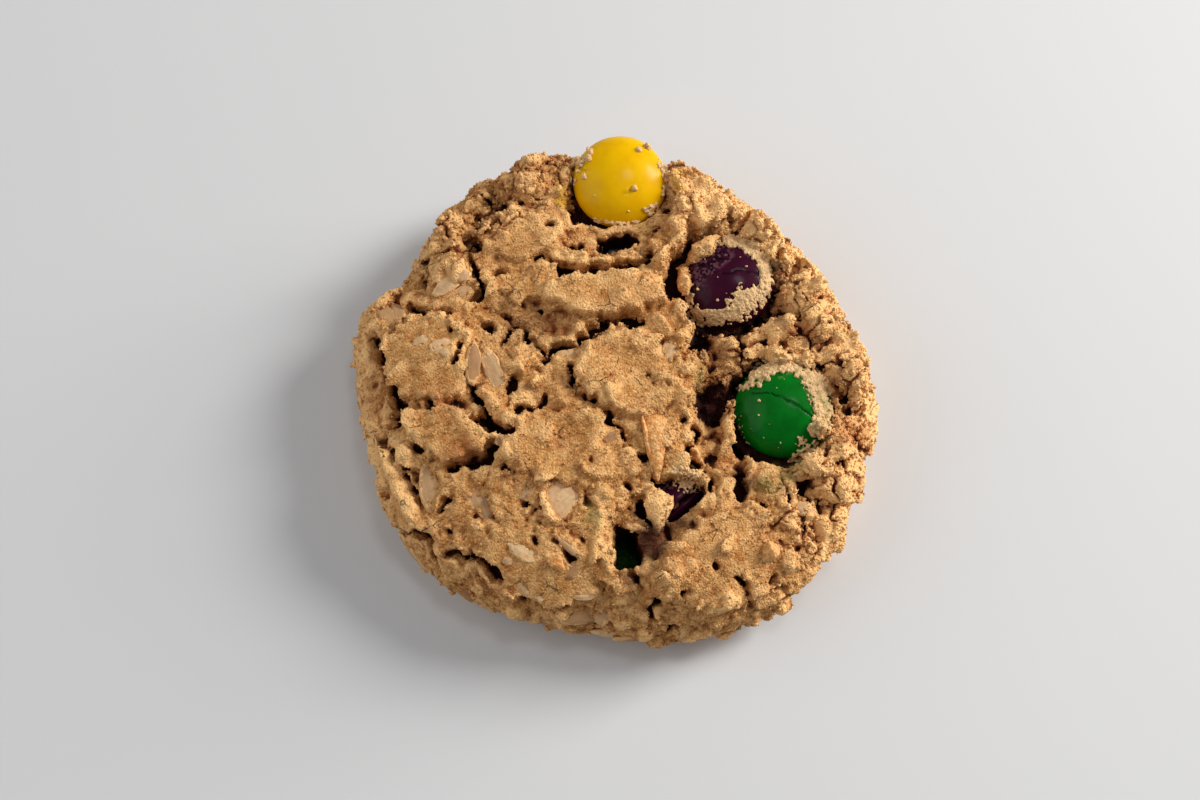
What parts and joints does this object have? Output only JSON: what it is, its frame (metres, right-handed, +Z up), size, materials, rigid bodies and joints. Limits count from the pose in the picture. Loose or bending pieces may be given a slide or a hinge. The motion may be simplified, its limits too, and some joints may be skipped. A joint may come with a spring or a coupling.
{
  "type": "monster cookie",
  "caption": "Thick round oat cookie with a cracked, lumpy face, rolled oats and sugar-shelled candies baked into it, lying on its flat base.",
  "frame": {"origin": "middle of the flat base, where the cookie rests", "axes": "+Z up out of the cracked face, +Y towards the edge that carries the yellow candy, +X towards the green candy"},
  "size_m": [0.0757, 0.0722, 0.0179],
  "materials": {
    "baked_dough": "baked oat dough, dry and grainy, golden brown",
    "yellow_shell": "glossy yellow sugar shell with fine cracks and stuck crumbs",
    "green_shell": "glossy deep green sugar shell with fine cracks and stuck crumbs",
    "violet_shell": "dark violet-brown sugar shell, partly crusted with dough"
  },
  "bodies": {
    "root": {"cookie": "baked_dough", "yellow_candy": "yellow_shell", "dark_candy": "violet_shell", "green_candy": "green_shell", "violet_candy": "violet_shell", "deep_green_candy": "green_shell", "slot_candy": "violet_shell"}
  },
  "joints": []
}
